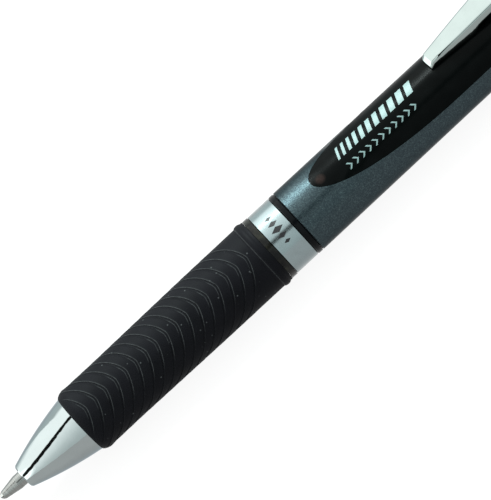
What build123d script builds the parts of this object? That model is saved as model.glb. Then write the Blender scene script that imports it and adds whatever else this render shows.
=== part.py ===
from build123d import *

import math
import os

# Retractable gel pen, tip out. It lies along X with the writing tip at -X, the push button at +X and the
# clip on top (+Z). The origin is under the middle of the pen, on the surface that the pen lies on.
# Each piece is drawn about the X axis, with its stations measured back from the front of the writing ball,
# and is moved into that frame when it is written. Units are millimetres and degrees.

# --- whole pen ------------------------------------------------------------------------------------------
LENGTH = 141.0
COLLAR_RADIUS = 5.87
FIT = 0.03
CHAMFER = 0.3
OVERSHOOT = 1.0  # how far a cutting solid runs past what it cuts
SINK = 0.5  # how deep lugs and fins are rooted in the body that they stand on

# --- refill ---------------------------------------------------------------------------------------------
BALL_RADIUS = 0.35
BALL_PLAY = 0.015
LIP_FRONT = 0.22
LIP_OPENING = 0.345
POINT_RADIUS = 1.15
POINT_CONE = ((LIP_FRONT, 0.43), (0.35, 0.52), (0.6, 0.67), (1.5, 0.83), (3.36, POINT_RADIUS))
POINT_END = 14.0
POINT_BORE = 0.45
HOLDER_FRONT = 8.0
HOLDER_RADIUS = 1.75
FLANGE_FRONT = 24.0
FLANGE_BACK = 25.4
FLANGE_RADIUS = 2.9
HOLDER_END = 31.0
HOLDER_BORE = 0.8
TUBE_RADIUS = 3.05
TUBE_BORE = 2.5
TUBE_END = 108.0
INK_END = 85.0
FOLLOWER_END = 91.0
FOLLOWER_HOLLOW = 4.0
FOLLOWER_DISH = 0.8
PLUG_FRONT = 104.0
PLUG_END = 110.5
PLUG_VENT = 0.5

# --- return spring --------------------------------------------------------------------------------------
SPRING_SEAT = 9.2
SPRING_RADIUS = 2.15
SPRING_WIRE = 0.17
SPRING_TURNS = 10

# --- nose cone ------------------------------------------------------------------------------------------
NOSE_FRONT = 4.63
NOSE_FRONT_RADIUS = 2.07
NOSE_CHAMFER = 0.2
NOSE_MIDDLE = (10.45, 3.76)
NOSE_BACK = 16.2
NOSE_BACK_RADIUS = 4.93
NOSE_MOUTH = 1.3
NOSE_MOUTH_END = 6.9
NOSE_NECK = 1.95
NOSE_CHAMBER = 2.5
SPIGOT_RADIUS = 3.9
SPIGOT_END = 22.0

# --- front barrel, grip and bands -----------------------------------------------------------------------
CORE_FRONT = NOSE_BACK + 0.05
CORE_RADIUS = 4.7
CORE_BORE = 3.35
RING_FRONT = 54.3
RING_BACK = 55.25
RING_RADIUS = 5.62
BAND_SEAT = 4.95
BAND_END = 59.55
BAND_RADIUS = 5.56
BAND_EDGE = 0.12
RETAINER_END = 60.5
RETAINER_RADIUS = 5.6
SCREW_RADIUS = 4.45
SCREW_DEPTH = 0.3
SCREW_PITCH = 0.9
SCREW_RIDGES = 6
SCREW_END = 67.0
GRIP_LIP = 5.03
GRIP_ROUND = (16.75, 5.33)
GRIP_SHOULDER = (17.55, 5.54)
GRIP_START = (1, -0.02)  # direction of the side at the shoulder
GRIP_WAIST = (23.5, 5.46)
GRIP_BACK = (52.55, 5.65)
GRIP_FINISH = (1, 0.004)  # direction of the side at the bead
GRIP_COLLAR = (53.4, COLLAR_RADIUS)
GRIP_TAIL = (54.25, 5.64)

# --- barrel and its inlay -------------------------------------------------------------------------------
BARREL_FRONT = 60.55
BARREL_FRONT_RADIUS = 5.6
BARREL_END = 129.0
BARREL_END_RADIUS = 5.43
BARREL_BORE = 4.3
SCREW_BORE = 4.5
SCREW_BORE_END = 67.5
INLAY_DEPTH = 0.4
INLAY_TIP = 65.6
INLAY_TAPER = 25.4  # length over which the tip widens as half an ellipse
INLAY_HALF_ANGLE = 59.0
INLAY_LEAN = 15.0  # from the clip's side of the barrel, about the pen's axis
INLAY_POINTS = 24
INLAY_GAP = 0.05

# --- click mechanism ------------------------------------------------------------------------------------
SLEEVE_FRONT = 112.0
SLEEVE_END = 125.6
SLEEVE_RADIUS = 4.27
SLEEVE_BORE = 3.8
RIB_INNER = 3.1
RIB_HALF_WIDTH = 0.57
RIB_END = 123.5
RIB_COUNT = 4
SLANT = 0.44  # sideways run of the slanted faces for each millimetre along the pen
SLANT_MIDDLE = 114.5
SLANT_GAP = 0.15
LUG_FRONT = 112.5
LUG_RADIUS = 3.65
ROTOR_FRONT = 110.6
ROTOR_END = 116.2
ROTOR_RADIUS = 2.95
ROTOR_STEM = 1.4
ROTOR_STEM_END = 121.0
TOOTH_COUNT = 8
TOOTH_HEIGHT = 0.8
TOOTH_HALF_WIDTH = 0.8
TOOTH_INNER = 1.6
TOOTH_OUTER = 2.7
TOOTH_GAP = 0.2
PLUNGER_RADIUS = 2.9
PLUNGER_BORE = 1.5
PLUNGER_BORE_END = 123.0
PLUNGER_CORE_END = 124.0
PLUNGER_ROD = 2.28
PLUNGER_END = 137.0
FIN_FRONT = 118.5
FIN_END = 122.0
FIN_HALF_WIDTH = 0.8

# --- button and tail cap --------------------------------------------------------------------------------
BUTTON_FRONT = 126.5
BUTTON_FLANGE_END = 127.5
BUTTON_FLANGE = 3.7
BUTTON_SHANK = 3.4
BUTTON_HEAD_FRONT = 135.4
BUTTON_RADIUS = 3.05
BUTTON_BORE = 2.3
BUTTON_EDGE = 0.9
CAP_SPIGOT_FRONT = 126.0
CAP_SPIGOT = 4.27
CAP_BORE = 3.85
CAP_LIP_FRONT = 133.4
CAP_LIP_BORE = 3.5
CAP_ROUND_START = (133.0, 5.38)
CAP_ROUND_MIDDLE = (134.35, 5.08)
CAP_END = 135.0
CAP_END_RADIUS = 4.6

# --- clip -----------------------------------------------------------------------------------------------
CLIP_FRONT = 90.4
CLIP_WALL = 0.4
CLIP_FRONT_WALL = 0.6
CLIP_SEAT_GAP = 0.08
CLIP_HALF_WIDTHS = ((CLIP_FRONT, 1.38), (98.8, 2.04), (108.0, 2.55), (119.0, 2.75), (130.9, 2.3))
CLIP_TOP = ((CLIP_FRONT, 6.64), (98.8, 7.59), (108.0, 8.4), (118.0, 8.85), (127.0, 8.45))
CLIP_BEND_MIDDLE = (130.0, 7.6)
CLIP_BEND_INSIDE = (129.6, 7.2)
CLIP_BEND_END = 5.85
CLIP_BACK = 130.9  # back face of the tab that goes down into the tail cap
CLIP_TAB_FRONT = 130.2
CLIP_TAB_HALF_WIDTH = 1.5
CLIP_TAB_BOTTOM = 4.3
CLIP_FOOT = ((CLIP_FRONT, 5.62), (98.6, 5.5))  # lower edge of the flanges where they come down to the barrel
CLIP_NOTCH_ROUND = (99.05, 6.0)
CLIP_NOTCH = (100.4, 6.4)
CLIP_FLANGE_DEPTH = 1.35
CLIP_FLANGE_END = 127.0
CLIP_CAP_GAP = 0.7  # height of the bent end's wide part over the tail cap
CLIP_CEILING = 10.0
CLIP_SLOT_GAP = 0.35


def turned(*outline):
    """A solid turned about the pen's axis from a closed outline of (station, radius) points."""
    return revolve(make_face(Polyline(*outline, close=True)), Axis.X)


def face_of(*lines):
    """A flat face inside lines and curves that close up."""
    return make_face([edge for line in lines for edge in line.edges()])


def turned_edges(*lines):
    """A solid turned about the pen's axis from lines and curves that close up."""
    return revolve(face_of(*lines), Axis.X)


def ring(front, back, bore, radius):
    return turned((front, bore), (front, radius), (back, radius), (back, bore))


def rod(front, back, radius):
    return ring(front, back, 0, radius)


def block(front, back, half_width, low, high):
    """A box between two stations, the same width to both sides of the pen's axis."""
    middle = Pos((front + back) / 2, 0, (low + high) / 2)
    return middle * Box(back - front, 2 * half_width, high - low)


def around(solid, count, first=0.0):
    """Copies of a solid, spaced evenly about the pen's axis."""
    return [Rot(first + 360 / count * i, 0, 0) * solid for i in range(count)]


def barrel_radius(station):
    share = (station - BARREL_FRONT) / (BARREL_END - BARREL_FRONT)
    return BARREL_FRONT_RADIUS + share * (BARREL_END_RADIUS - BARREL_FRONT_RADIUS)


# --- refill pieces --------------------------------------------------------------------------------------
def ball():
    return Pos(BALL_RADIUS, 0, 0) * Sphere(BALL_RADIUS)


def point():
    """The steel point: a lip crimped over the ball, a cone and a plain shank."""
    body = turned((LIP_FRONT, 0), *POINT_CONE, (POINT_END, POINT_RADIUS), (POINT_END, 0))
    socket = Pos(BALL_RADIUS, 0, 0) * Sphere(BALL_RADIUS + BALL_PLAY)
    mouth = rod(0, BALL_RADIUS, LIP_OPENING)
    channel = rod(BALL_RADIUS, POINT_END + OVERSHOOT, BALL_RADIUS / 2)
    bore = rod(POINT_CONE[-1][0], POINT_END + OVERSHOOT, POINT_BORE)
    return body - socket - mouth - channel - bore


def tip_holder():
    """The plastic piece that joins the point to the ink tube and carries the spring's flange."""
    body = turned(
        (HOLDER_FRONT, 0),
        (HOLDER_FRONT, HOLDER_RADIUS - CHAMFER),
        (HOLDER_FRONT + CHAMFER, HOLDER_RADIUS),
        (FLANGE_FRONT, HOLDER_RADIUS),
        (FLANGE_FRONT, FLANGE_RADIUS),
        (FLANGE_BACK, FLANGE_RADIUS),
        (FLANGE_BACK, TUBE_BORE - FIT),
        (HOLDER_END, TUBE_BORE - FIT),
        (HOLDER_END, 0),
    )
    socket = rod(HOLDER_FRONT - OVERSHOOT, POINT_END + FIT, POINT_RADIUS + FIT)
    return body - socket - rod(POINT_END, HOLDER_END + OVERSHOOT, HOLDER_BORE)


def refill_tube():
    return ring(FLANGE_BACK + FIT, TUBE_END, TUBE_BORE, TUBE_RADIUS)


def ink():
    return rod(HOLDER_END + FIT, INK_END, TUBE_BORE - FIT)


def ink_follower():
    """The clear grease behind the ink, dished at the back."""
    dish = Pos(FOLLOWER_END - FOLLOWER_DISH + FOLLOWER_HOLLOW, 0, 0) * Sphere(FOLLOWER_HOLLOW)
    return rod(INK_END + FIT, FOLLOWER_END, TUBE_BORE - FIT) - dish


def refill_plug():
    body = turned(
        (PLUG_FRONT, 0),
        (PLUG_FRONT, TUBE_BORE - 2 * CHAMFER),
        (PLUG_FRONT + 2 * CHAMFER, TUBE_BORE - FIT),
        (TUBE_END + FIT, TUBE_BORE - FIT),
        (TUBE_END + FIT, TUBE_RADIUS),
        (PLUG_END, TUBE_RADIUS),
        (PLUG_END, 0),
    )
    return body - rod(PLUG_FRONT - OVERSHOOT, PLUG_END + OVERSHOOT, PLUG_VENT)


def return_spring():
    """The spring that pushes the refill back, squeezed between the nose cone and the holder's flange."""
    front = SPRING_SEAT + SPRING_WIRE + FIT
    length = FLANGE_FRONT - SPRING_WIRE - FIT - front
    path = Helix(
        pitch=length / SPRING_TURNS,
        height=length,
        radius=SPRING_RADIUS,
        center=(front, 0, 0),
        direction=(1, 0, 0),
    )
    wire = Plane(path @ 0, z_dir=path % 0) * Circle(SPRING_WIRE)
    return sweep(wire, path=path, is_frenet=True)


# --- front section --------------------------------------------------------------------------------------
def nose_cone():
    """The metal cone: a curved side, a narrow mouth, a spring chamber and a spigot for the front barrel."""
    edge = (NOSE_FRONT + NOSE_CHAMFER, NOSE_FRONT_RADIUS)
    back = (NOSE_BACK, NOSE_BACK_RADIUS)
    return turned_edges(
        Polyline(
            back,
            (NOSE_BACK, SPIGOT_RADIUS),
            (SPIGOT_END, SPIGOT_RADIUS),
            (SPIGOT_END, NOSE_CHAMBER),
            (SPRING_SEAT, NOSE_CHAMBER),
            (SPRING_SEAT, NOSE_NECK),
            (NOSE_MOUTH_END, NOSE_NECK),
            (NOSE_MOUTH_END, NOSE_MOUTH),
            (NOSE_FRONT, NOSE_MOUTH),
            (NOSE_FRONT, NOSE_FRONT_RADIUS - NOSE_CHAMFER),
            edge,
        ),
        ThreePointArc(edge, NOSE_MIDDLE, back),
    )


def front_barrel():
    """The tube inside the grip. Its flange shows behind the grip, and its back end screws into the barrel."""
    ridges = []
    for i in range(SCREW_RIDGES):
        crest = RETAINER_END + SCREW_PITCH * (i + 0.75)
        ridges.append((crest - SCREW_PITCH / 2, SCREW_RADIUS - SCREW_DEPTH))
        ridges.append((crest, SCREW_RADIUS))
    return turned(
        (CORE_FRONT, SPIGOT_RADIUS + FIT),
        (CORE_FRONT, CORE_RADIUS),
        (RING_FRONT, CORE_RADIUS),
        (RING_FRONT, RING_RADIUS),
        (RING_BACK, RING_RADIUS),
        (RING_BACK, BAND_SEAT),
        (RETAINER_END, BAND_SEAT),
        (RETAINER_END, SCREW_RADIUS - SCREW_DEPTH),
        *ridges,
        (SCREW_END - SCREW_PITCH / 2, SCREW_RADIUS - SCREW_DEPTH),
        (SCREW_END, SCREW_RADIUS - SCREW_DEPTH - CHAMFER),
        (SCREW_END, CORE_BORE),
        (SPIGOT_END + FIT, CORE_BORE),
        (SPIGOT_END + FIT, SPIGOT_RADIUS + FIT),
    )


def grip():
    """The rubber sleeve: a rounded front shoulder, a slowly swelling side and a bead at the back."""
    front = CORE_FRONT
    bore = CORE_RADIUS + FIT
    back = RING_FRONT - FIT
    return turned_edges(
        Line((front, bore), (front, GRIP_LIP)),
        ThreePointArc((front, GRIP_LIP), GRIP_ROUND, GRIP_SHOULDER),
        Spline(GRIP_SHOULDER, GRIP_WAIST, GRIP_BACK, tangents=(GRIP_START, GRIP_FINISH)),
        ThreePointArc(GRIP_BACK, GRIP_COLLAR, GRIP_TAIL),
        Polyline(GRIP_TAIL, (back, GRIP_TAIL[1]), (back, bore), (front, bore)),
    )


def banded(front, back, radius):
    """A ring on the front barrel's seat, with its two outer edges broken."""
    bore = BAND_SEAT + FIT
    return turned(
        (front, bore),
        (front, radius - BAND_EDGE),
        (front + BAND_EDGE, radius),
        (back - BAND_EDGE, radius),
        (back, radius - BAND_EDGE),
        (back, bore),
    )


def trim_band():
    return banded(RING_BACK + FIT, BAND_END, BAND_RADIUS)


def band_retainer():
    return banded(BAND_END + FIT, RETAINER_END, RETAINER_RADIUS)


# --- barrel ---------------------------------------------------------------------------------------------
def inlay_prism(margin):
    """The inlay's outline cut straight through the barrel's side, smaller all round by the margin."""
    tip = INLAY_TIP + margin
    side = []
    for i in range(INLAY_POINTS):
        sweep_angle = math.pi / 2 * i / (INLAY_POINTS - 1)
        station = tip + INLAY_TAPER * (1 - math.cos(sweep_angle))
        half_angle = math.radians(INLAY_HALF_ANGLE) * math.sin(sweep_angle)
        side.append((station, barrel_radius(station) * math.sin(half_angle) - margin * (i > 0)))
    back = BARREL_END - margin
    side.append((back, barrel_radius(back) * math.sin(math.radians(INLAY_HALF_ANGLE)) - margin))
    other_side = [(x, -y) for x, y in reversed(side[1:])]
    outline = make_face(Polyline(*side, *other_side, close=True))
    return Rot(INLAY_LEAN, 0, 0) * extrude(outline, 2 * BARREL_FRONT_RADIUS)


def barrel_skin(depth, clearance=0.0):
    """The outermost layer of the barrel, of the given depth, standing out by the clearance."""
    ends = (BARREL_FRONT, BARREL_END + OVERSHOOT)
    outer = [(x, barrel_radius(x) + clearance) for x in ends]
    return turned((ends[0], outer[0][1] - depth), *outer, (ends[1], outer[1][1] - depth))


def barrel():
    body = turned(
        (BARREL_FRONT, SCREW_BORE),
        (BARREL_FRONT, BARREL_FRONT_RADIUS - BAND_EDGE),
        (BARREL_FRONT + BAND_EDGE, barrel_radius(BARREL_FRONT + BAND_EDGE)),
        (BARREL_END, BARREL_END_RADIUS),
        (BARREL_END, BARREL_BORE),
        (SCREW_BORE_END, BARREL_BORE),
        (SCREW_BORE_END, SCREW_BORE),
    )
    return body - (inlay_prism(-INLAY_GAP) & barrel_skin(INLAY_DEPTH + FIT + OVERSHOOT, OVERSHOOT))


def accent_inlay():
    """The long tongue let into the barrel's side, flush with its surface."""
    return inlay_prism(0) & barrel_skin(INLAY_DEPTH)


# --- click mechanism ------------------------------------------------------------------------------------
def slanted_bar(front, back, half_width, low, high):
    """A bar along the pen on its +Z side. A front or back of None is the slanted face."""

    def ends(slant_middle, plain):
        if plain is not None:
            return (plain, -half_width), (plain, half_width)
        run = half_width / SLANT
        return (slant_middle - run, -half_width), (slant_middle + run, half_width)

    front_left, front_right = ends(SLANT_MIDDLE + SLANT_GAP, front)
    back_left, back_right = ends(SLANT_MIDDLE, back)
    outline = Polyline(front_left, front_right, back_right, back_left, close=True)
    return Pos(0, 0, low) * extrude(make_face(outline), high - low)


def cam_sleeve():
    """The ribbed guide. The ribs' slanted front ends hold the rotor forward when the tip is out."""
    wall = ring(SLEEVE_FRONT, SLEEVE_END, SLEEVE_BORE, SLEEVE_RADIUS)
    rib = slanted_bar(None, RIB_END, RIB_HALF_WIDTH, RIB_INNER, SLEEVE_RADIUS)
    room = ring(SLEEVE_FRONT, SLEEVE_END, RIB_INNER, SLEEVE_BORE + FIT)
    return wall + [r & room for r in around(rib, RIB_COUNT)]


def teeth(base, direction):
    """A crown of teeth that stands on the base station and points along X in the given direction."""
    outline = Polyline(
        (base, -TOOTH_HALF_WIDTH),
        (base + direction * TOOTH_HEIGHT, 0),
        (base, TOOTH_HALF_WIDTH),
        (base - direction * TOOTH_HEIGHT, 0),
        close=True,
    )
    tooth = Pos(0, 0, TOOTH_INNER) * extrude(make_face(outline), TOOTH_OUTER - TOOTH_INNER)
    return around(tooth, TOOTH_COUNT)


def rotor():
    """The rotating cam: a toothed body with four slant-backed lugs and a stem in the plunger."""
    body = rod(ROTOR_FRONT, ROTOR_END, ROTOR_RADIUS) + rod(ROTOR_END, ROTOR_STEM_END, ROTOR_STEM)
    lug = slanted_bar(LUG_FRONT, None, RIB_HALF_WIDTH, 0, LUG_RADIUS + OVERSHOOT)
    room = ring(ROTOR_FRONT, SLEEVE_END, ROTOR_RADIUS - SINK, LUG_RADIUS)
    lugs = [part & room for part in around(lug, RIB_COUNT)]
    return body + lugs + teeth(ROTOR_END, 1)


def plunger():
    """The pusher: a toothed front that turns the rotor, four guide fins and a rod in the button."""
    front = ROTOR_END + 2 * TOOTH_HEIGHT + TOOTH_GAP
    body = rod(front, PLUNGER_CORE_END, PLUNGER_RADIUS) + rod(PLUNGER_CORE_END, PLUNGER_END, PLUNGER_ROD)
    fin = slanted_bar(FIN_FRONT, FIN_END, FIN_HALF_WIDTH, 0, LUG_RADIUS + OVERSHOOT)
    room = ring(FIN_FRONT, FIN_END, PLUNGER_RADIUS - SINK, LUG_RADIUS)
    fins = [part & room for part in around(fin, RIB_COUNT, first=45)]
    return body + fins + teeth(front, -1) - rod(front - OVERSHOOT, PLUNGER_BORE_END, PLUNGER_BORE)


# --- button and tail cap --------------------------------------------------------------------------------
def button():
    """The push button: a hollow cap over the plunger's rod, with a flange that keeps it in the pen."""
    edge_front = LENGTH - BUTTON_EDGE
    face_edge = (LENGTH, BUTTON_RADIUS - BUTTON_EDGE)
    diagonal = BUTTON_EDGE * math.sqrt(0.5)
    edge_middle = (edge_front + diagonal, face_edge[1] + diagonal)
    return turned_edges(
        Polyline(
            face_edge,
            (LENGTH, 0),
            (PLUNGER_END + FIT, 0),
            (PLUNGER_END + FIT, BUTTON_BORE),
            (BUTTON_FRONT, BUTTON_BORE),
            (BUTTON_FRONT, BUTTON_FLANGE),
            (BUTTON_FLANGE_END, BUTTON_FLANGE),
            (BUTTON_FLANGE_END, BUTTON_SHANK),
            (BUTTON_HEAD_FRONT, BUTTON_SHANK),
            (BUTTON_HEAD_FRONT, BUTTON_RADIUS),
            (edge_front, BUTTON_RADIUS),
        ),
        ThreePointArc((edge_front, BUTTON_RADIUS), edge_middle, face_edge),
    )


def tail_cap():
    """The crown that closes the barrel, keeps the button in and holds the clip's tab in a slot."""
    end = (CAP_END, CAP_END_RADIUS)
    body = turned_edges(
        Polyline(
            end,
            (CAP_END, CAP_LIP_BORE),
            (CAP_LIP_FRONT, CAP_LIP_BORE),
            (CAP_LIP_FRONT, CAP_BORE),
            (CAP_SPIGOT_FRONT, CAP_BORE),
            (CAP_SPIGOT_FRONT, CAP_SPIGOT),
            (BARREL_END + FIT, CAP_SPIGOT),
            (BARREL_END + FIT, BARREL_END_RADIUS),
            CAP_ROUND_START,
        ),
        ThreePointArc(CAP_ROUND_START, CAP_ROUND_MIDDLE, end),
    )
    slot_ends = (CLIP_TAB_FRONT - CLIP_SLOT_GAP, CLIP_BACK + CLIP_SLOT_GAP)
    return body - block(*slot_ends, CLIP_TAB_HALF_WIDTH + CLIP_SLOT_GAP, 0, COLLAR_RADIUS)


# --- clip -----------------------------------------------------------------------------------------------
def clip_plan(inset):
    """The clip's plan outline, as a tall prism, with its sides moved in by the inset."""
    front_inset = CLIP_FRONT_WALL if inset else 0
    side = [(x + front_inset * (i == 0), y - inset) for i, (x, y) in enumerate(CLIP_HALF_WIDTHS)]
    back = (CLIP_BACK + OVERSHOOT, side[-1][1])
    other = [(x, -y) for x, y in side]
    outline = face_of(
        Spline(*side),
        Polyline(side[-1], back, (back[0], -back[1]), other[-1]),
        Spline(*reversed(other)),
        Line(other[0], side[0]),
    )
    return extrude(outline, CLIP_CEILING)


def clip_side(*outline):
    """A prism across the pen from lines that close up in the clip's side view."""
    return extrude(Plane.XZ * face_of(*outline), COLLAR_RADIUS, both=True)


def clip_strip():
    """The clip's plate: it rises from its front, levels out, and turns down into the tail cap."""
    under = [(x, z - CLIP_WALL) for x, z in CLIP_TOP]
    outside = (CLIP_BACK, CLIP_BEND_END)
    inside = (CLIP_TAB_FRONT, CLIP_BEND_END - CLIP_WALL)
    return clip_side(
        Spline(*CLIP_TOP),
        ThreePointArc(CLIP_TOP[-1], CLIP_BEND_MIDDLE, outside),
        Polyline(outside, (CLIP_BACK, CLIP_TAB_BOTTOM), (CLIP_TAB_FRONT, CLIP_TAB_BOTTOM), inside),
        ThreePointArc(inside, CLIP_BEND_INSIDE, under[-1]),
        Spline(*reversed(under)),
        Line(under[0], CLIP_TOP[0]),
    )


def clip_skirt():
    """The side view of the clip's flanges: deep at the front, notched, then shallow as far as the bend."""
    flange_low = [(x, z - CLIP_FLANGE_DEPTH) for x, z in CLIP_TOP[2:4]]
    flange_tip = (CLIP_FLANGE_END, CLIP_TOP[-1][1] - CLIP_WALL)
    return clip_side(
        Spline(*CLIP_TOP),
        Line(CLIP_TOP[-1], flange_tip),
        Spline(flange_tip, *reversed(flange_low), CLIP_NOTCH),
        ThreePointArc(CLIP_NOTCH, CLIP_NOTCH_ROUND, CLIP_FOOT[-1]),
        Polyline(CLIP_FOOT[-1], CLIP_FOOT[0], CLIP_TOP[0]),
    )


def clip():
    """The sheet-metal clip: a plate that falls to the barrel, two side flanges, a closed end and a tab."""
    above_cap = BARREL_END_RADIUS + CLIP_CAP_GAP
    plan = clip_plan(0)
    tab_room = block(CLIP_FLANGE_END, CLIP_BACK, CLIP_TAB_HALF_WIDTH, 0, CLIP_CEILING)
    bend_room = block(CLIP_FLANGE_END, CLIP_BACK, COLLAR_RADIUS, above_cap, CLIP_CEILING)
    front_room = block(CLIP_FRONT, CLIP_FLANGE_END, COLLAR_RADIUS, 0, CLIP_CEILING)
    plate = clip_strip() & plan & (tab_room + bend_room + front_room)
    skirts = clip_skirt() & (plan - clip_plan(CLIP_WALL))
    barrel_room = turned(
        (CLIP_FRONT - OVERSHOOT, 0),
        (CLIP_FRONT - OVERSHOOT, barrel_radius(CLIP_FRONT) + CLIP_SEAT_GAP),
        (CLIP_FLANGE_END, barrel_radius(CLIP_FLANGE_END) + CLIP_SEAT_GAP),
        (CLIP_FLANGE_END, 0),
    )
    return plate + skirts - barrel_room


NODES = (
    ball,
    point,
    tip_holder,
    refill_tube,
    ink,
    ink_follower,
    refill_plug,
    return_spring,
    nose_cone,
    front_barrel,
    grip,
    trim_band,
    band_retainer,
    barrel,
    accent_inlay,
    cam_sleeve,
    rotor,
    plunger,
    button,
    tail_cap,
    clip,
)


def main():
    os.makedirs("parts", exist_ok=True)
    place = Pos(-LENGTH / 2, 0, COLLAR_RADIUS)
    for node in NODES:
        export_step(place * node(), f"parts/{node.__name__}.step")


main()
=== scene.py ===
"""Looks of the retractable gel pen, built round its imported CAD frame. Metres, in the frame's own axes."""

import math
import bpy
import bmesh
from mathutils import Matrix, Vector


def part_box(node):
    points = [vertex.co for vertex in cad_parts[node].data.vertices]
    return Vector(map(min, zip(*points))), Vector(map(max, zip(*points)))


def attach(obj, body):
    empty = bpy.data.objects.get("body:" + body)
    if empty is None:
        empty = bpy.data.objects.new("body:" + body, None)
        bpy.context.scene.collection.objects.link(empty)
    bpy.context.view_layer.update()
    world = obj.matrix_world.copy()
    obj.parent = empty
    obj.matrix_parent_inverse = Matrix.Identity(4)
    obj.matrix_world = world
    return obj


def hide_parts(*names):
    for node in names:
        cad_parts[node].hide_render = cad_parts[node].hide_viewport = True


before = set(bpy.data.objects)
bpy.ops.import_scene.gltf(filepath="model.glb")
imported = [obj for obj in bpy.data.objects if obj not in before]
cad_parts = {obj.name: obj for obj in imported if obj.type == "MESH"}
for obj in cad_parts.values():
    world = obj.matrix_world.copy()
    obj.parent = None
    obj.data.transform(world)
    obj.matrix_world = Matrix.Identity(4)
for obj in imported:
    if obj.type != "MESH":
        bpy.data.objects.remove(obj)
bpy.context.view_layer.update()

# The pen's own lengths (stations, radii, widths, heights) are in millimetres, everything else is in metres.
MM = 0.001
AXIS_Z = (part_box("button")[0].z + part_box("button")[1].z) / 2
TIP_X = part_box("ball")[0].x


def station(mm):
    """X of a station, given in millimetres back from the front of the ball."""
    return TIP_X + mm * MM


def station_of(x):
    """The station of an X, in millimetres."""
    return (x - TIP_X) / MM


def radius_of(node):
    """Half a node's height, in millimetres."""
    low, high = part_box(node)
    return (high.z - low.z) / 2 / MM


def around_axis(mm, radius, angle):
    """A point on the pen, from its station, its distance from the axis and its angle from the top to -Y."""
    turn = math.radians(angle)
    return Vector((station(mm), -radius * MM * math.sin(turn), AXIS_Z + radius * MM * math.cos(turn)))


def ease(share):
    """0 to 1, with a smooth start and end."""
    share = min(1.0, max(0.0, share))
    return share * share * (3 - 2 * share)


BARREL_FRONT = station_of(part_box("barrel")[0].x)
BARREL_END = station_of(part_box("barrel")[1].x)
BARREL_FRONT_RADIUS = radius_of("barrel")
BARREL_END_RADIUS = radius_of("tail_cap")


def barrel_radius(mm):
    """The barrel's outer radius at a station."""
    share = (mm - BARREL_FRONT) / (BARREL_END - BARREL_FRONT)
    return BARREL_FRONT_RADIUS + share * (BARREL_END_RADIUS - BARREL_FRONT_RADIUS)


# --- node helpers ---------------------------------------------------------------------------------------
class Finish:
    """A material with one Principled shader, and short calls for the nodes that feed it."""

    def __init__(self, name, **values):
        self.material = bpy.data.materials.new(name)
        self.material.use_nodes = True
        self.tree = self.material.node_tree
        self.shader = self.tree.nodes["Principled BSDF"]
        self.place = self.tree.nodes.new("ShaderNodeTexCoord").outputs["Object"]
        for key, value in values.items():
            self.set(key, value)

    def set(self, key, value):
        """A shader input, from a node's output, a colour or a number."""
        socket = self.shader.inputs[key.replace("_", " ")]
        if isinstance(value, bpy.types.NodeSocket):
            self.tree.links.new(value, socket)
        elif isinstance(value, (tuple, list)):
            socket.default_value = (*value, 1.0)
        else:
            socket.default_value = value

    def node(self, kind, **inputs):
        """A new node. Its inputs are given by name, or by place as i0, i1 and i2."""
        made = self.tree.nodes.new(kind)
        for key, value in inputs.items():
            by_place = key[0] == "i" and key[1:].isdigit()
            socket = made.inputs[int(key[1:])] if by_place else made.inputs[key]
            if isinstance(value, bpy.types.NodeSocket):
                self.tree.links.new(value, socket)
            else:
                socket.default_value = value
        return made

    def stretched(self, stretch):
        """The object's coordinates, multiplied axis by axis."""
        made = self.node("ShaderNodeMapping", Vector=self.place)
        made.inputs["Scale"].default_value = stretch
        return made.outputs["Vector"]

    def noise(self, size_mm, detail=3.0, stretch=(1.0, 1.0, 1.0)):
        """Noise whose features are about size_mm across."""
        vector = self.stretched(tuple(s / (size_mm * MM) for s in stretch))
        return self.node("ShaderNodeTexNoise", Vector=vector, Scale=1.0, Detail=detail).outputs["Fac"]

    def cells(self, size_mm, output="Color"):
        """Random cells about size_mm across."""
        vector = self.stretched((1 / (size_mm * MM),) * 3)
        return self.node("ShaderNodeTexVoronoi", Vector=vector, Scale=1.0).outputs[output]

    def math(self, operation, first, second=0.5, third=0.5):
        made = self.node("ShaderNodeMath", i0=first, i1=second, i2=third)
        made.operation = operation
        return made.outputs[0]

    def level(self, socket, low, high, start=0.0, end=1.0):
        """The socket's range start..end, turned into low..high."""
        made = self.node("ShaderNodeMapRange", Value=socket)
        for key, value in (("From Min", start), ("From Max", end), ("To Min", low), ("To Max", high)):
            made.inputs[key].default_value = value
        return made.outputs["Result"]

    def colours(self, socket, *stops):
        """A colour ramp with (place, (r, g, b)) stops."""
        made = self.node("ShaderNodeValToRGB", Fac=socket)
        elements = made.color_ramp.elements
        while len(elements) < len(stops):
            elements.new(1.0)
        for element, (place, colour) in zip(elements, stops):
            element.position = place
            element.color = (*colour, 1.0)
        return made.outputs["Color"]

    def mixed(self, share, colour, other):
        """One colour where the share is 0, the other where it is 1."""
        made = self.node("ShaderNodeMix")
        made.data_type = "RGBA"
        self.tree.links.new(share, made.inputs["Factor"])
        self.tree.links.new(colour, made.inputs["A"])
        made.inputs["B"].default_value = (*other, 1.0)
        return made.outputs["Result"]

    def bump(self, height, distance_mm, strength=1.0):
        made = self.node("ShaderNodeBump", Height=height, Strength=strength, Distance=distance_mm * MM)
        self.set("Normal", made.outputs["Normal"])


def shade_of(colour, share):
    return tuple(channel * share for channel in colour)


def shades(finish, socket, colour, darkest, lightest):
    """The colour, from a darker shade where the socket is low to a lighter one where it is high."""
    return finish.colours(socket, (0.3, shade_of(colour, darkest)), (0.7, shade_of(colour, lightest)))


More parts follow.
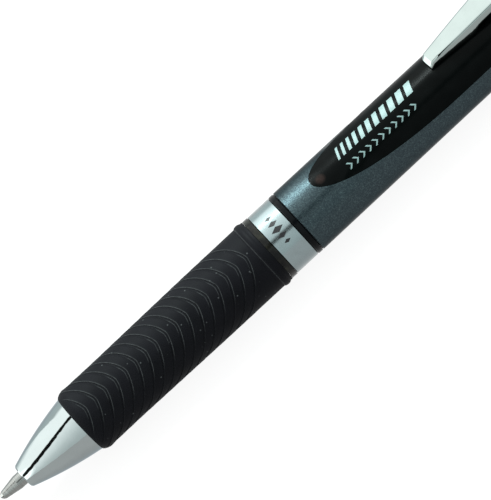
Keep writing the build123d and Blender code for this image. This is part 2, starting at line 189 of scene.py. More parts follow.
# --- materials ------------------------------------------------------------------------------------------
def chrome(name, colour, roughness=0.04):
    """Bright plating: faint hairline scratches along the pen, and a little haze."""
    finish = Finish(name, Metallic=1.0, Specular_Tint=(0.7, 0.76, 0.8))
    haze = finish.noise(2.5, 4.0)
    scratches = finish.noise(0.05, 2.0, stretch=(0.03, 1.0, 1.0))
    finish.set("Base Color", shades(finish, haze, colour, 0.96, 1.03))
    finish.set("Roughness", finish.level(haze, roughness * 0.7, roughness * 1.4))
    finish.bump(scratches, 0.00008)
    return finish.material


def turned_steel(name, colour, roughness):
    """Machined steel: fine rings round the pen's axis, and patches a little duller than the rest."""
    finish = Finish(name, Metallic=1.0)
    rings = finish.noise(0.05, 3.0, stretch=(1.0, 0.02, 0.02))
    patches = finish.noise(0.5, 3.0)
    finish.set("Base Color", shades(finish, rings, colour, 0.72, 1.12))
    finish.set("Roughness", finish.level(patches, roughness * 0.7, roughness * 1.4))
    finish.bump(rings, 0.004)
    return finish.material


def satin_band(name, colour):
    """Satin silver, brushed round the pen, under a thin lacquer."""
    finish = Finish(name, Metallic=1.0, Coat_Weight=0.05, Coat_Roughness=0.1)
    brushing = finish.noise(0.04, 3.0, stretch=(1.0, 0.03, 0.03))
    patches = finish.noise(1.8, 3.0)
    finish.set("Base Color", shades(finish, patches, colour, 0.94, 1.05))
    finish.set("Roughness", finish.level(brushing, 0.17, 0.23))
    finish.bump(brushing, 0.0012)
    return finish.material


GLINT_ATTRIBUTE = "painted_glint"  # the grip mesh's attribute: painted highlight on the groove lips and the bead's foot, 0 to 1
CLEAN_CELLS = 0.88  # the share of the cells without a speck of dust


def rubber(name):
    """Soft black rubber: matt, finely pitted, with painted highlights on the groove lips and specks of dust."""
    finish = Finish(name, Specular_IOR_Level=0.035)
    pits = finish.noise(0.09, 4.0)
    bloom = finish.noise(3.0, 4.0)
    specks = finish.cells(0.75, "Distance")
    keep = finish.node("ShaderNodeSeparateColor", Color=finish.cells(0.75)).outputs["Red"]
    near = finish.level(specks, 1.0, 0.0, 0.1, 0.2)
    dust = finish.math("MULTIPLY", near, finish.math("GREATER_THAN", keep, CLEAN_CELLS))
    # the mesh's painted highlight on the groove lips and bead, broken up by random patches
    glint_node = finish.node("ShaderNodeAttribute")
    glint_node.attribute_name = GLINT_ATTRIBUTE
    patches = finish.level(finish.noise(0.5, 3.0), 0.35, 0.85, 0.3, 0.7)
    painted_glints = finish.math("MULTIPLY", glint_node.outputs["Fac"], patches)
    skin = finish.colours(bloom, (0.3, (0.0023, 0.0025, 0.0033)), (0.7, (0.0035, 0.0037, 0.0048)))
    # painted highlight colour of the groove lips and bead, also the colour of the dust specks
    dust_and_glint = (0.034, 0.037, 0.038)
    finish.set("Base Color", finish.mixed(finish.math("MAXIMUM", dust, painted_glints), skin, dust_and_glint))
    finish.set("Roughness", finish.level(bloom, 0.5, 0.62))
    finish.bump(pits, 0.01, 0.6)
    return finish.material


def flake_paint(name):
    """Charcoal metallic paint: sparkling flakes of several sizes under a clear coat."""
    finish = Finish(name, Metallic=1.0, Specular_Tint=(0.48, 0.48, 0.48), Coat_Weight=0.1, Coat_Roughness=0.05)
    flakes = finish.cells(0.07)
    tilt = finish.node("ShaderNodeSeparateColor", Color=flakes)
    glint = finish.math("POWER", tilt.outputs["Red"], 2.0)
    depth = finish.noise(0.35, 3.0)
    shine = finish.math("MULTIPLY", glint, finish.level(depth, 0.6, 1.3, 0.3, 0.7))
    dark, middle, bright = (0.0185, 0.0275, 0.0325), (0.026, 0.0385, 0.0435), (0.056, 0.082, 0.087)
    finish.set("Base Color", finish.colours(shine, (0.0, dark), (0.35, middle), (1.0, bright)))
    finish.set("Roughness", finish.level(tilt.outputs["Green"], 0.29, 0.37))
    finish.bump(finish.math("ADD", tilt.outputs["Blue"], depth), 0.002, 0.4)
    return finish.material


def smoke_plastic(name):
    """Smoky clear plastic: a painted warm glow in random cloudy patches, standing for light getting into it, almost
    black elsewhere.
    """
    finish = Finish(name, Specular_IOR_Level=0.1)
    clouds = finish.noise(1.4, 3.0)
    flow = finish.noise(0.12, 2.0, stretch=(1.0, 0.1, 0.1))
    # the warmest stop is a painted glow for light inside the plastic
    dark, middle, painted_glow = (0.002, 0.002, 0.0022), (0.007, 0.007, 0.0055), (0.018, 0.017, 0.011)
    finish.set("Base Color", finish.colours(clouds, (0.35, dark), (0.55, middle), (0.75, painted_glow)))
    finish.set("Roughness", finish.level(clouds, 0.06, 0.16))
    finish.bump(flow, 0.002)
    return finish.material


def gloss_plastic(name, colour, shine, roughness=0.1):
    """Moulded gloss plastic, with faint flow lines and small changes of shade."""
    finish = Finish(name, Specular_IOR_Level=shine)
    flow = finish.noise(0.6, 3.0, stretch=(0.2, 1.0, 1.0))
    patches = finish.noise(2.0, 4.0)
    finish.set("Base Color", shades(finish, patches, colour, 0.8, 1.25))
    finish.set("Roughness", finish.level(patches, roughness * 0.75, roughness * 1.3))
    finish.bump(flow, 0.001)
    return finish.material


# Painted warm glow on the tongue by its tip, standing for light let through the smoky plastic
GLOW_STATION = 67.1
GLOW_ANGLE = 20.0
GLOW_SIZE = (0.95, 0.85, 1.0)  # half the painted glow's size along each axis, with its soft edge


def inlay_gloss(name):
    """The black tongue: deep gloss, with a painted warm glow by its tip, standing for light let through the
    plastic.
    """
    finish = Finish(name, Specular_IOR_Level=0.024)
    patches = finish.noise(2.0, 4.0)
    black = finish.colours(patches, (0.3, (0.0006, 0.0009, 0.0009)), (0.7, (0.0011, 0.0015, 0.0015)))
    centre = around_axis(GLOW_STATION, BARREL_FRONT_RADIUS, GLOW_ANGLE)
    scaled = finish.stretched(tuple(1 / (size * MM) for size in GLOW_SIZE))
    middle = Vector([c / size for c, size in zip(centre, GLOW_SIZE)]) / MM
    distance = finish.node("ShaderNodeVectorMath", i0=scaled, i1=tuple(middle))
    distance.operation = "DISTANCE"
    # the painted glow's soft-edged mask
    near = finish.level(distance.outputs["Value"], 1.0, 0.0, 0.45, 1.05)
    grain = finish.level(finish.noise(0.3, 3.0), 0.55, 1.1, 0.3, 0.7)
    # painted glow colour, for light let through the plastic
    painted_glow = (0.013, 0.0085, 0.0075)
    finish.set("Base Color", finish.mixed(finish.math("MULTIPLY", near, grain), black, painted_glow))
    finish.set("Roughness", finish.level(patches, 0.19, 0.25))
    finish.bump(finish.noise(0.5, 2.0, stretch=(0.2, 1.0, 1.0)), 0.0012)
    return finish.material


def print_ink(name, colour):
    """Pad-printed ink: matt, slightly uneven, with tiny pinholes."""
    finish = Finish(name, Specular_IOR_Level=0.3)
    cover = finish.noise(0.12, 3.0)
    finish.set("Base Color", finish.colours(cover, (0.28, shade_of(colour, 0.78)), (0.5, colour)))
    finish.set("Roughness", finish.level(cover, 0.3, 0.5))
    finish.bump(cover, 0.003)
    return finish.material


def clear_plastic(name, colour, roughness):
    """Natural translucent plastic, with slow cloudiness and moulding lines."""
    finish = Finish(name, Transmission_Weight=0.75, IOR=1.46)
    clouds = finish.noise(1.2, 3.0)
    finish.set("Base Color", shades(finish, clouds, colour, 0.93, 1.0))
    finish.set("Roughness", finish.level(clouds, roughness * 0.7, roughness * 1.3))
    finish.bump(finish.noise(0.3, 2.0, stretch=(0.05, 1.0, 1.0)), 0.002)
    return finish.material


def moulded(name, colour, roughness=0.4):
    """Plain moulded engineering plastic with a fine grain."""
    finish = Finish(name, Subsurface_Weight=0.1, Subsurface_Scale=0.0008)
    grain = finish.noise(0.07, 4.0)
    patches = finish.noise(1.5, 3.0)
    finish.set("Base Color", shades(finish, patches, colour, 0.92, 1.0))
    finish.set("Roughness", finish.level(grain, roughness * 0.8, roughness * 1.2))
    finish.bump(grain, 0.003, 0.5)
    return finish.material


# colours, linear
CHROME = (0.262, 0.288, 0.288)
CLIP_PLATING = (0.243, 0.275, 0.266)
MINT = (0.102, 0.16, 0.157)


def dress_nodes():
    """A finish for every CAD node that stays shown; the grip and the clip are hidden and rebuilt."""
    bright = chrome("chrome", CHROME)
    clear = clear_plastic("clear_plastic", (0.86, 0.88, 0.88), 0.18)
    acetal = moulded("acetal", (0.78, 0.78, 0.75))
    finishes = {
        "ball": turned_steel("carbide", (0.28, 0.29, 0.295), 0.1),
        "point": turned_steel("point_steel", (0.21, 0.213, 0.205), 0.17),
        "tip_holder": clear,
        "refill_tube": clear,
        "ink": gloss_plastic("ink", (0.006, 0.006, 0.008), 0.5),
        "ink_follower": clear_plastic("grease", (0.9, 0.86, 0.7), 0.3),
        "refill_plug": acetal,
        "return_spring": turned_steel("spring_steel", (0.5, 0.51, 0.52), 0.25),
        "nose_cone": bright,
        "front_barrel": smoke_plastic("smoke_plastic"),
        "trim_band": satin_band("band_silver", (0.205, 0.246, 0.252)),
        "band_retainer": gloss_plastic("dark_ring", (0.0015, 0.0018, 0.0022), 0.05, 0.16),
        "barrel": flake_paint("barrel_paint"),
        "accent_inlay": inlay_gloss("inlay_gloss"),
        "cam_sleeve": acetal,
        "rotor": acetal,
        "plunger": acetal,
        "button": chrome("plated_plastic", shade_of(CHROME, 1.05), 0.12),
        "tail_cap": bright,
    }
    for node, finish in finishes.items():
        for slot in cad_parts[node].material_slots:
            slot.material = finish


# --- mesh pieces ----------------------------------------------------------------------------------------
WELD = 0.0002 * MM  # points nearer than this become one


def place_in_scene(name, data):
    """A new object for a mesh, camera or lamp."""
    placed = bpy.data.objects.new(name, data)
    bpy.context.scene.collection.objects.link(placed)
    return placed


def mesh_piece(name, points, faces, finish, smooth_below, painted_glints=None):
    """A piece from points and faces, smooth over edges that bend by less than smooth_below degrees."""
    mesh = bpy.data.meshes.new(name)
    mesh.from_pydata([tuple(p) for p in points], [], faces)
    if painted_glints:
        mesh.attributes.new(GLINT_ATTRIBUTE, "FLOAT", "POINT").data.foreach_set("value", painted_glints)
    cleaned = bmesh.new()
    cleaned.from_mesh(mesh)
    bmesh.ops.remove_doubles(cleaned, verts=cleaned.verts, dist=WELD)
    bmesh.ops.recalc_face_normals(cleaned, faces=cleaned.faces)
    cleaned.to_mesh(mesh)
    cleaned.free()
    mesh.shade_smooth()
    mesh.set_sharp_from_angle(angle=math.radians(smooth_below))
    mesh.materials.append(finish)
    return place_in_scene(name, mesh)


def tube_faces(rows, columns):
    """Quads between closed rings of points, each ring having the same number of columns."""
    faces = []
    for i in range(rows - 1):
        for j in range(columns):
            k = (j + 1) % columns
            faces.append((i * columns + j, i * columns + k, (i + 1) * columns + k, (i + 1) * columns + j))
    return faces


# --- grip -----------------------------------------------------------------------------------------------
GRIP_LOW = station_of(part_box("grip")[0].x)
GRIP_HIGH = station_of(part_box("grip")[1].x)
GRIP_BORE = 4.73
GRIP_CHAMFER = 0.05
GRIP_COLUMNS = 240
GRIP_SMOOTH_BELOW = 60.0
# the sleeve's outer radius, by millimetres back from its front edge
GRIP_PROFILE = ((0.0, 5.03), (0.15, 5.16), (0.35, 5.28), (0.6, 5.40), (0.85, 5.475), (1.1, 5.52), (1.3, 5.535),
                (1.55, 5.51), (1.9, 5.475), (3.0, 5.465), (7.3, 5.445), (15.0, 5.515), (25.0, 5.6), (36.3, 5.63))
GROOVED_END = 52.4
GROOVE_FIRST = 18.62  # station of the first groove's point
GROOVE_PITCH = 2.03
GROOVE_COUNT = 17
ROWS_AHEAD = 2  # plain pitches from the sleeve's front edge to the first groove's point
ROWS_BEHIND = 3  # plain pitches behind the last groove's point, as many as its arms run forward
GROOVE_APEX = 33.0  # angle of the chevrons' points from the top of the pen, to -Y
GROOVE_SWEEP = 0.0072  # how fast a chevron's arms run forward: millimetres per degree to the power 1.5
GROOVE_DEPTH = 0.1
GROOVE_HALF_WIDTH = 0.17
GROOVE_LIP = 0.02  # how far the lips beside a groove stand up
LIP_WIDTH = 0.12
FRONT_FADE = (0.3, 1.3)  # distances behind the sleeve's front edge over which the grooves deepen
BACK_FADE = (0.0, 0.5)  # the same ahead of the grooved stretch's end
ROWS_START = GRIP_LOW - 0.3  # rows further forward than this would all fall on the front edge
# Painted highlights: pale lines on the groove lips and the bead's foot, standing for light caught on them
GLINT_PLACE = 0.2  # the painted highlight line's distance from the groove's middle
GLINT_HALF_WIDTH = 0.04
REAR_GLINT_ENDS = (22.0, 44.0)  # degrees past a chevron's point over which the rear lip's painted highlight fades
FRONT_GLINT_ENDS = (9.0, 18.0)
BEAD_GLINT = 0.8
# station and radius of the bead at the sleeve's back
BEAD = ((52.4, 5.63), (52.6, 5.64), (52.66, 5.70), (52.8, 5.78), (53.0, 5.835), (53.2, 5.855), (53.4, 5.85),
        (53.6, 5.80), (53.75, 5.72), (53.85, 5.66), (54.1, 5.645), (54.2, 5.62))
BEAD_FOOT = BEAD[2]  # where the bead's front rises, with a painted highlight


def profile_radius(mm):
    """The grip's outer radius without its grooves."""
    back = mm - GRIP_LOW
    for (x0, r0), (x1, r1) in zip(GRIP_PROFILE, GRIP_PROFILE[1:]):
        if back <= x1:
            return r0 + (r1 - r0) * (back - x0) / (x1 - x0)
    return GRIP_PROFILE[-1][1]


def off_point(angle):
    """Degrees from the nearest chevron's point, -90 to 90. The pattern repeats every half turn."""
    return (angle - GROOVE_APEX + 90.0) % 180.0 - 90.0


def arm_shift(angle):
    """How far forward of its point a chevron's arm lies, at an angle round the pen."""
    return GROOVE_SWEEP * abs(off_point(angle)) ** 1.5


def groove_cut(back_of_middle):
    """How much a groove takes off the radius, by distance from its middle line."""
    off = abs(back_of_middle)
    if off < GROOVE_HALF_WIDTH:
        return GROOVE_DEPTH * math.cos(off / GROOVE_HALF_WIDTH * math.pi / 2) ** 0.8
    lip = (off - GROOVE_HALF_WIDTH) / LIP_WIDTH
    return -GROOVE_LIP * math.sin(math.pi * lip) if lip < 1 else 0.0


def between(value, ends):
    """How far a value has come from the first of the ends to the second, eased."""
    return ease((value - ends[0]) / (ends[1] - ends[0]))


def lip_glint(back_of_middle, angle):
    """How strong the painted highlight on a groove's lips is: the rear lip all over the top, the front lip only by
    the chevron's point.
    """
    off = off_point(angle)
    if abs(abs(back_of_middle) - GLINT_PLACE) > GLINT_HALF_WIDTH:
        return 0.0
    if back_of_middle > 0:
        return 1.0 - 0.9 * between(off, REAR_GLINT_ENDS)
    return 0.75 * (1.0 - between(abs(off), FRONT_GLINT_ENDS))


def grip_rows():
    """Rows of the grooved stretch: station at a chevron's point, and distance back of a groove's middle or None."""
    across_groove = (-0.29, -0.23, -0.17, -0.14, -0.09, 0.0, 0.09, 0.14, 0.17, 0.23, 0.29)
    land = (0.45, 0.65, 0.85, 1.05, 1.25, 1.45, 1.6)
    first = GROOVE_FIRST - ROWS_AHEAD * GROOVE_PITCH
    rows = []
    for i in range(ROWS_AHEAD + GROOVE_COUNT + ROWS_BEHIND):
        point = first + i * GROOVE_PITCH
        grooved = ROWS_AHEAD <= i < ROWS_AHEAD + GROOVE_COUNT
        rows += [(point + d, d if grooved else None) for d in across_groove]
        rows += [(point + d, None) for d in land]
    return [row for row in rows if row[0] >= ROWS_START]


def build_grip(finish):
    """The rubber sleeve, with its curved grooves and its bead."""
    points, painted_glints = [], []
    rows = [(GRIP_LOW, None)] + grip_rows()
    for along, cut_off in rows:
        for j in range(GRIP_COLUMNS):
            angle = 360.0 * j / GRIP_COLUMNS
            mm = min(GROOVED_END, max(GRIP_LOW, along - arm_shift(angle)))
            radius = profile_radius(mm)
            painted_glint = 0.0
            if cut_off is not None:
                fade = between(mm - GRIP_LOW, FRONT_FADE) * between(GROOVED_END - mm, BACK_FADE)
                radius -= groove_cut(cut_off) * fade
                # painted highlight on the groove's lips
                painted_glint = fade * lip_glint(cut_off, angle)
            points.append(around_axis(mm, radius, angle))
            painted_glints.append(painted_glint)
    ends = [*BEAD, (GRIP_HIGH, BEAD[-1][1] - GRIP_CHAMFER)]
    ends += [(GRIP_HIGH, GRIP_BORE), (GRIP_LOW, GRIP_BORE), (GRIP_LOW, GRIP_PROFILE[0][1])]
    for mm, radius in ends:
        points += [around_axis(mm, radius, 360.0 * j / GRIP_COLUMNS) for j in range(GRIP_COLUMNS)]
        # painted highlight on the bead's foot
        painted_glints += [BEAD_GLINT if (mm, radius) == BEAD_FOOT else 0.0] * GRIP_COLUMNS
    faces = tube_faces(len(rows) + len(ends), GRIP_COLUMNS)
    grip = mesh_piece("grip_sleeve", points, faces, finish, GRIP_SMOOTH_BELOW, painted_glints)
    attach(grip, "front_section")
    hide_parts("grip")


# --- clip -----------------------------------------------------------------------------------------------
CLIP_WALL = 0.4
CLIP_BOW = 0.06  # how far the middle of the clip's front stands ahead of its corners
CLIP_FOLD = 0.46  # how far the rounding of a long fold reaches
CLIP_NOSE = 90.25  # station of the clip's front
CLIP_NOSE_HEIGHTS = (5.63, 6.1)  # foot and head of the upright front, over the axis
CLIP_NOSE_NARROWER = 0.05
CLIP_SMOOTH_BELOW = 32.0
CLIP_EDGE = 0.06
# station, half width, height of the top over the axis, height of the flanges' lower edge
CLIP_ROWS = (
    (90.85, 1.42, 6.69, 5.61),
    (92.6, 1.56, 6.885, 5.59),
    (94.6, 1.73, 7.115, 5.56),
    (96.6, 1.89, 7.34, 5.53),
    (98.3, 2.02, 7.53, 5.505),
    (98.62, 2.04, 7.565, 5.51),
    (98.85, 2.055, 7.59, 5.68),
    (99.2, 2.08, 7.63, 6.02),
    (99.7, 2.11, 7.68, 6.25),
    (100.4, 2.16, 7.75, 6.42),
    (102.0, 2.27, 7.91, 6.62),
    (105.0, 2.43, 8.17, 6.86),
    (108.0, 2.55, 8.4, 7.08),
    (112.0, 2.67, 8.64, 7.32),
    (116.0, 2.745, 8.8, 7.46),
    (119.0, 2.75, 8.84, 7.5),
    (122.0, 2.71, 8.78, 7.5),
    (124.5, 2.63, 8.65, 7.58),
    (126.2, 2.56, 8.52, 7.7),
    (127.0, 2.52, 8.44, 7.78),
)
# station, half width and height of the bend over the barrel's end, down to the foot in the tail cap
CLIP_BEND = ((128.1, 2.47, 8.24), (129.1, 2.42, 7.95), (129.95, 2.37, 7.55), (130.5, 2.33, 7.05), (130.8, 2.3, 6.5),
             (130.88, 2.3, 6.16), (130.9, 1.5, 6.12), (130.9, 1.5, 5.3), (130.9, 1.5, 4.35))
CLIP_COLUMNS = (-1.0, -0.6, -0.3, 0.0, 0.3, 0.6, 1.0)


def clip_point(mm, across, half_width, height, bow):
    """A point of the sheet; across runs from -1 to 1 over its width."""
    x = station(mm + bow * CLIP_BOW * across * across)
    return Vector((x, -across * half_width * MM, AXIS_Z + height * MM))


def bow_of(row):
    """The bow is whole at the clip's front and gone two rows behind it."""
    return max(0.0, 1 - row / 2)


def build_clip(finish):
    """The folded sheet: a plate, two flanges, a closed front and a bend at the back, thickened inwards."""
    shell = bmesh.new()
    front_width = CLIP_ROWS[0][1] - CLIP_NOSE_NARROWER
    front = [(CLIP_NOSE, front_width, height, 1.0) for height in CLIP_NOSE_HEIGHTS]
    plate = [(mm, w, top, bow_of(i)) for i, (mm, w, top, low) in enumerate(CLIP_ROWS)]
    bend = [(mm, w, top, 0.0) for mm, w, top in CLIP_BEND]
    rows = []
    for mm, half_width, height, bow in front + plate + bend:
        places = [clip_point(mm, across, half_width, height, bow) for across in CLIP_COLUMNS]
        rows.append([shell.verts.new(place) for place in places])
    for lower, upper in zip(rows, rows[1:]):
        for j in range(len(CLIP_COLUMNS) - 1):
            shell.faces.new((lower[j], lower[j + 1], upper[j + 1], upper[j]))
    folds = []
    for side in (0, -1):
        lows = []
        for i, (mm, half_width, top, low) in enumerate(CLIP_ROWS):
            place = clip_point(mm, CLIP_COLUMNS[side], half_width, low, bow_of(i))
            lows.append(shell.verts.new(place))
        shell.faces.new((rows[0][side], rows[1][side], rows[2][side], lows[0]))
        for i in range(len(lows) - 1):
            shell.faces.new((lows[i], rows[2 + i][side], rows[3 + i][side], lows[i + 1]))
        chain = [row[side] for row in rows[1:2 + len(CLIP_ROWS)]]
        folds += [shell.edges.get(pair) for pair in zip(chain, chain[1:])]
    bmesh.ops.recalc_face_normals(shell, faces=shell.faces)
    bmesh.ops.bevel(shell, geom=folds, offset=CLIP_FOLD * MM, segments=6, profile=0.5, affect="EDGES")
    mesh = bpy.data.meshes.new("clip_sheet")
    shell.to_mesh(mesh)
    shell.free()
    mesh.shade_smooth()
    mesh.set_sharp_from_angle(angle=math.radians(CLIP_SMOOTH_BELOW))
    mesh.materials.append(finish)
    clip = place_in_scene("clip_sheet", mesh)
    wall = clip.modifiers.new("wall", "SOLIDIFY")
    wall.thickness = CLIP_WALL * MM
    wall.offset = -1.0
    wall.use_even_offset = True
    edge = clip.modifiers.new("edge", "BEVEL")
    edge.width = CLIP_EDGE * MM
    edge.segments = 2
    edge.limit_method = "ANGLE"
    edge.angle_limit = math.radians(50)
    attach(clip, "clip")
    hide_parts("clip")


# --- printed marks --------------------------------------------------------------------------------------
PRINT_RISE = 0.012  # how far a mark stands over the surface, and reaches under it
PRINT_STEP = 0.25  # a mark is cut into steps of about this length, to follow the round surface
PRINT_SMOOTH_BELOW = 30.0
# the marks on the inlay: stations along the pen, arcs in millimetres round from the top to -Y
MARK_COUNT = 11
BARS_START = 71.0
BAR_ARCS = (1.8, -0.35)
BAR_LEAN = 0.75
BAR_WIDTH = 0.42
BAR_WIDENING = 0.075
BAR_GAP = 0.62
CHEVRONS_START = 71.9
CHEVRON_PITCH = 1.28
CHEVRON_ARC = 3.55
CHEVRON_HALF = 0.56
CHEVRON_STROKE = 0.32
# the marks on the band
LOZENGE_SIZES = (0.6, 0.85, 1.1, 0.85, 0.6)  # half their length along the pen
LOZENGE_FIRST_ARC = 0.9
LOZENGE_PITCH = 1.13
LOZENGE_ARC_SHARE = 0.42  # half their length round the band, by size
LOZENGE_ARC_LEAST = 0.05


def printed_marks(name, radius_at, outlines, finish):
    """Thin marks on a round surface. An outline is four corners of (station, millimetres round from the top)."""
    points, faces = [], []
    for near_low, near_high, far_high, far_low in outlines:
        across = max(math.dist(near_low, near_high), math.dist(far_low, far_high))
        steps = max(2, round(across / PRINT_STEP))
        base = len(points)
        for height in (PRINT_RISE, -PRINT_RISE):
            for start, end in ((near_low, near_high), (far_low, far_high)):
                for i in range(steps + 1):
                    mm = start[0] + (end[0] - start[0]) * i / steps
                    arc = start[1] + (end[1] - start[1]) * i / steps
                    radius = radius_at(mm)
                    points.append(around_axis(mm, radius + height, math.degrees(arc / radius)))
        ring = steps + 1
        for i in range(steps):
            for level in (0, 2 * ring):
                low = base + level + i
                faces.append((low, low + 1, low + ring + 1, low + ring))
            for side in (0, ring):
                low = base + side + i
                faces.append((low, low + 1, low + 2 * ring + 1, low + 2 * ring))
        for end in (0, steps):
            low = base + end
            faces.append((low, low + ring, low + 3 * ring, low + 2 * ring))
    return mesh_piece(name, points, faces, finish, PRINT_SMOOTH_BELOW)


def inlay_marks():
    """A row of leaning bars that widen towards the clip, over a row of small chevrons."""
    marks = []
    low, high = BAR_ARCS
    place = BARS_START
    for i in range(MARK_COUNT):
        width = BAR_WIDTH + BAR_WIDENING * i
        head = place + BAR_LEAN
        marks.append(((place, low), (head, high), (head + width, high), (place + width, low)))
        place += width + BAR_GAP
    for i in range(MARK_COUNT):
        tip = CHEVRONS_START + CHEVRON_PITCH * i
        back = tip - CHEVRON_HALF
        for side in (-CHEVRON_HALF, CHEVRON_HALF):
            end = CHEVRON_ARC + side
            marks.append((
                (tip, CHEVRON_ARC), (back, end), (back + CHEVRON_STROKE, end), (tip + CHEVRON_STROKE, CHEVRON_ARC),
            ))
    return marks


def band_marks():
    """Five lozenges in a row round the band, the middle one the largest."""
    low, high = (station_of(corner.x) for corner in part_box("trim_band"))
    centre = (low + high) / 2
    marks = []
    for i, size in enumerate(LOZENGE_SIZES):
        arc = LOZENGE_FIRST_ARC + LOZENGE_PITCH * i
        half = LOZENGE_ARC_SHARE * size + LOZENGE_ARC_LEAST
        marks.append(((centre - size, arc), (centre, arc - half), (centre + size, arc), (centre, arc + half)))
    return marks


def build_prints():
    """The two generic marks: on the black tongue and on the silver band."""
    mint = print_ink("print_mint", MINT)
    on_inlay = printed_marks("inlay_print", barrel_radius, inlay_marks(), mint)
    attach(on_inlay, "barrel")
    band_radius = radius_of("trim_band")
    black = print_ink("print_black", (0.004, 0.004, 0.005))
    on_band = printed_marks("band_print", lambda mm: band_radius, band_marks(), black)
    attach(on_band, "front_section")


# --- studio ---------------------------------------------------------------------------------------------
CAMERA_ELEVATION = math.radians(44.0)
CAMERA_ROLL = math.radians(42.9)
CAMERA_DISTANCE = 0.5
CAMERA_LENS = 241.3
VIEW_CENTRE = 51.9  # station that the camera looks at
VIEW_RISE = 2.24 * MM  # how far above the pen's axis, across the view


def make_camera():
    """The camera, turned so that the pen runs up the picture to the right."""
    back = Vector((0, -math.cos(CAMERA_ELEVATION), math.sin(CAMERA_ELEVATION)))
    level_up = Vector((0, math.sin(CAMERA_ELEVATION), math.cos(CAMERA_ELEVATION)))
    level_right = Vector((1, 0, 0))
    right = level_right * math.cos(CAMERA_ROLL) - level_up * math.sin(CAMERA_ROLL)
    up = level_right * math.sin(CAMERA_ROLL) + level_up * math.cos(CAMERA_ROLL)
    target = Vector((station(VIEW_CENTRE), 0, AXIS_Z)) + level_up * VIEW_RISE
    data = bpy.data.cameras.new("camera")
    data.lens = CAMERA_LENS
    data.sensor_width = 36.0
    data.clip_start = 0.01
    data.clip_end = 20.0
    camera = place_in_scene("camera", data)
    turn = Matrix((right, up, back)).transposed()
    camera.matrix_world = Matrix.Translation(target + back * CAMERA_DISTANCE) @ turn.to_4x4()
    bpy.context.scene.camera = camera


FLOOR_HALF = 3.0
FLOOR_GLOW = 0.92  # the floor is a softly lit table


def make_floor():
    """A plain white table under the pen."""
    mesh = bpy.data.meshes.new("floor")
    s = FLOOR_HALF
    mesh.from_pydata([(-s, -s, 0), (s, -s, 0), (s, s, 0), (-s, s, 0)], [], [(0, 1, 2, 3)])
    finish = Finish("floor_paper", Specular_IOR_Level=0.0, Roughness=0.9)
    finish.set("Emission Color", (1.0, 1.0, 1.0))
    finish.set("Emission Strength", FLOOR_GLOW)
    paper = finish.noise(1.5, 3.0)
    finish.set("Base Color", finish.colours(paper, (0.3, (0.048, 0.048, 0.048)), (0.7, (0.052, 0.052, 0.052))))
    mesh.materials.append(finish.material)
    floor = place_in_scene("floor", mesh)


# The studio is a dome round the pen's axis. Its angles, in degrees, run from the -Y horizon over the top to the +Y
# horizon. Ahead is how far a direction points past the pen's tip: 0 square to the pen, -1 straight along it.
STUDIO = ((0, 1.15), (15, 1.35), (33, 1.5), (53, 1.8), (71, 2.2), (90, 2.6), (104, 2.85), (110, 3.15),
          (146, 3.15), (156, 1.45), (180, 1.35))  # angle, radiance
STUDIO_TOP = 3.15
HALF_TURN = 180.0
SHADE_TINT = (0.84, 0.99, 1.0)  # of no light
LIGHT_TINT = (0.97, 1.0, 0.985)  # of the brightest light
DOME_BEND = (14.3, 143.2)  # degrees of turn for each unit of ahead, and for each unit of its square
CARD_MIDDLE = 125 / HALF_TURN  # the card is the dome's brightest stretch
CARD_WIDER = (-0.315, -0.35)  # ahead over which the card's far side widens
CARD_WIDER_SHARE = -0.5  # what it adds to an angle there, as a share of the angle past the card's middle
CARD_AHEAD = (-0.63, -0.68)  # ahead over which the card closes the front end of the dome
CARD_AHEAD_EXTRA = 0.45  # how much brighter the card is there
GAP_FLOOR = 0.006  # the share of light left in a dark strip
# Dark strips: the half widths where an edge starts and ends, and the sideways values over which a strip ends.
# the camera's own place in the dome
CAMERA_GAP_ANGLE = 50.0
CAMERA_GAP_EDGE = (4.0, 9.0)
CAMERA_GAP_ENDS = (0.15, 0.25)
# the thin gap beside the card
CARD_GAP_ANGLE = 91.7
CARD_GAP_LEAN = 26.0
CARD_GAP_NARROWEST = 0.33  # the gap is narrowest where ahead is minus this, and grows with the square from there
CARD_GAP_GROWTH = 14.0
CARD_GAP_EDGE = (4.1, 5.5)
CARD_GAP_ENDS = (0.27, 0.2)
# a dark stand beside the pen
STAND_ANGLE = 46.0
STAND_AHEAD = 0.25
STAND_EDGE = (27.0, 36.0)
STAND_ENDS = (0.05, 0.075)


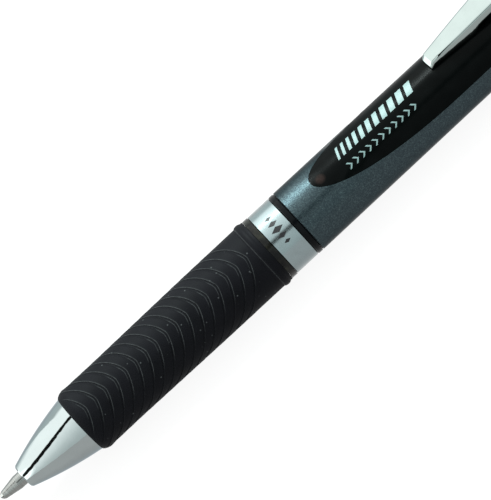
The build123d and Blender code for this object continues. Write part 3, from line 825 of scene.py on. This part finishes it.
def make_world():
    """The studio dome: a broad bright card overhead, a dimmer camera side, and three dark strips."""
    world = bpy.data.worlds.new("studio")
    world.use_nodes = True
    bpy.context.scene.world = world
    tree = world.node_tree
    link = tree.links.new

    def calc(operation, *inputs):
        made = tree.nodes.new("ShaderNodeMath")
        made.operation = operation
        for i, value in enumerate(inputs):
            if isinstance(value, bpy.types.NodeSocket):
                link(value, made.inputs[i])
            else:
                made.inputs[i].default_value = value
        return made.outputs[0]

    def fade(value, ends, low=0.0, high=1.0):
        """low up to the first of the ends, high past the second, smooth between them."""
        made = tree.nodes.new("ShaderNodeMapRange")
        made.interpolation_type = "SMOOTHSTEP"
        link(value, made.inputs["Value"])
        for key, number in (("From Min", ends[0]), ("From Max", ends[1]), ("To Min", low), ("To Max", high)):
            made.inputs[key].default_value = number
        return made.outputs["Result"]

    def gap(angle, middle, edge, sideways, ends):
        """GAP_FLOOR in a dark strip round an angle, as far as the sideways value allows it; 1 elsewhere."""
        away = calc("ABSOLUTE", calc("SUBTRACT", angle, middle))
        return calc("MAXIMUM", fade(away, edge, low=GAP_FLOOR), fade(sideways, ends))

    direction = tree.nodes.new("ShaderNodeTexCoord").outputs["Generated"]
    parts = tree.nodes.new("ShaderNodeSeparateXYZ")
    link(direction, parts.inputs[0])
    x, y, z = parts.outputs
    angle = calc("MULTIPLY", calc("ARCTAN2", z, calc("MULTIPLY", y, -1.0)), 180.0 / math.pi)
    ahead = calc("MINIMUM", x, 0.0)
    bent = calc("MULTIPLY_ADD", calc("MULTIPLY", ahead, ahead), DOME_BEND[1], angle)
    bent = calc("MULTIPLY_ADD", ahead, DOME_BEND[0], bent)

    share = calc("DIVIDE", bent, HALF_TURN)
    past_middle = calc("MAXIMUM", calc("SUBTRACT", share, CARD_MIDDLE), 0.0)
    share = calc("MULTIPLY_ADD", past_middle, fade(x, CARD_WIDER, high=CARD_WIDER_SHARE), share)
    closing = fade(x, CARD_AHEAD)
    share = calc("MULTIPLY_ADD", calc("SUBTRACT", CARD_MIDDLE, share), closing, share)
    ramp = tree.nodes.new("ShaderNodeValToRGB")
    link(share, ramp.inputs["Fac"])
    elements = ramp.color_ramp.elements
    while len(elements) < len(STUDIO):
        elements.new(1.0)
    for element, (place, radiance) in zip(elements, STUDIO):
        level = radiance / STUDIO_TOP
        tint = [s + (l - s) * min(1.0, level) for s, l in zip(SHADE_TINT, LIGHT_TINT)]
        element.position = place / HALF_TURN
        element.color = (*(level * t for t in tint), 1.0)

    camera_gap = gap(angle, CAMERA_GAP_ANGLE, CAMERA_GAP_EDGE, calc("ABSOLUTE", x), CAMERA_GAP_ENDS)
    leaning = calc("MULTIPLY_ADD", ahead, CARD_GAP_LEAN, bent)
    beyond = calc("ADD", ahead, CARD_GAP_NARROWEST)
    width = calc("MULTIPLY_ADD", calc("MULTIPLY", beyond, beyond), CARD_GAP_GROWTH, 1.0)
    off_gap = calc("DIVIDE", calc("SUBTRACT", leaning, CARD_GAP_ANGLE), width)
    card_gap = gap(off_gap, 0.0, CARD_GAP_EDGE, calc("MULTIPLY", x, -1.0), CARD_GAP_ENDS)
    beside_stand = calc("ABSOLUTE", calc("ADD", x, STAND_AHEAD))
    stand = gap(angle, STAND_ANGLE, STAND_EDGE, beside_stand, STAND_ENDS)
    lit = calc("MULTIPLY", calc("MULTIPLY", camera_gap, card_gap), stand)
    brightest = calc("MULTIPLY_ADD", closing, CARD_AHEAD_EXTRA * STUDIO_TOP, STUDIO_TOP)
    background = tree.nodes["Background"]
    link(ramp.outputs["Color"], background.inputs["Color"])
    link(calc("MULTIPLY", lit, brightest), background.inputs["Strength"])


LIGHT_AIM = (0.02, 0, AXIS_Z)  # a point on the pen's axis


def make_light(name, angle, along, distance, size, power, colour):
    """A soft box aimed at the pen. Its angle is a studio angle, along is its X."""
    data = bpy.data.lights.new(name, "AREA")
    data.shape = "RECTANGLE"
    data.size, data.size_y = size
    data.energy = power
    data.color = colour
    light = place_in_scene(name, data)
    turn = math.radians(angle)
    place = Vector((along, -distance * math.cos(turn), AXIS_Z + distance * math.sin(turn)))
    light.location = place
    light.rotation_euler = (place - Vector(LIGHT_AIM)).to_track_quat("Z", "Y").to_euler()


# --- making ---------------------------------------------------------------------------------------------
bpy.context.scene.view_settings.view_transform = "Standard"
make_camera()
make_floor()
make_world()
make_light("tail_softbox", angle=120.0, along=0.24, distance=1.0, size=(0.16, 0.4), power=22.0,
           colour=(0.86, 1.0, 0.99))
dress_nodes()
build_grip(rubber("grip_rubber"))
build_clip(chrome("clip_chrome", CLIP_PLATING))
build_prints()
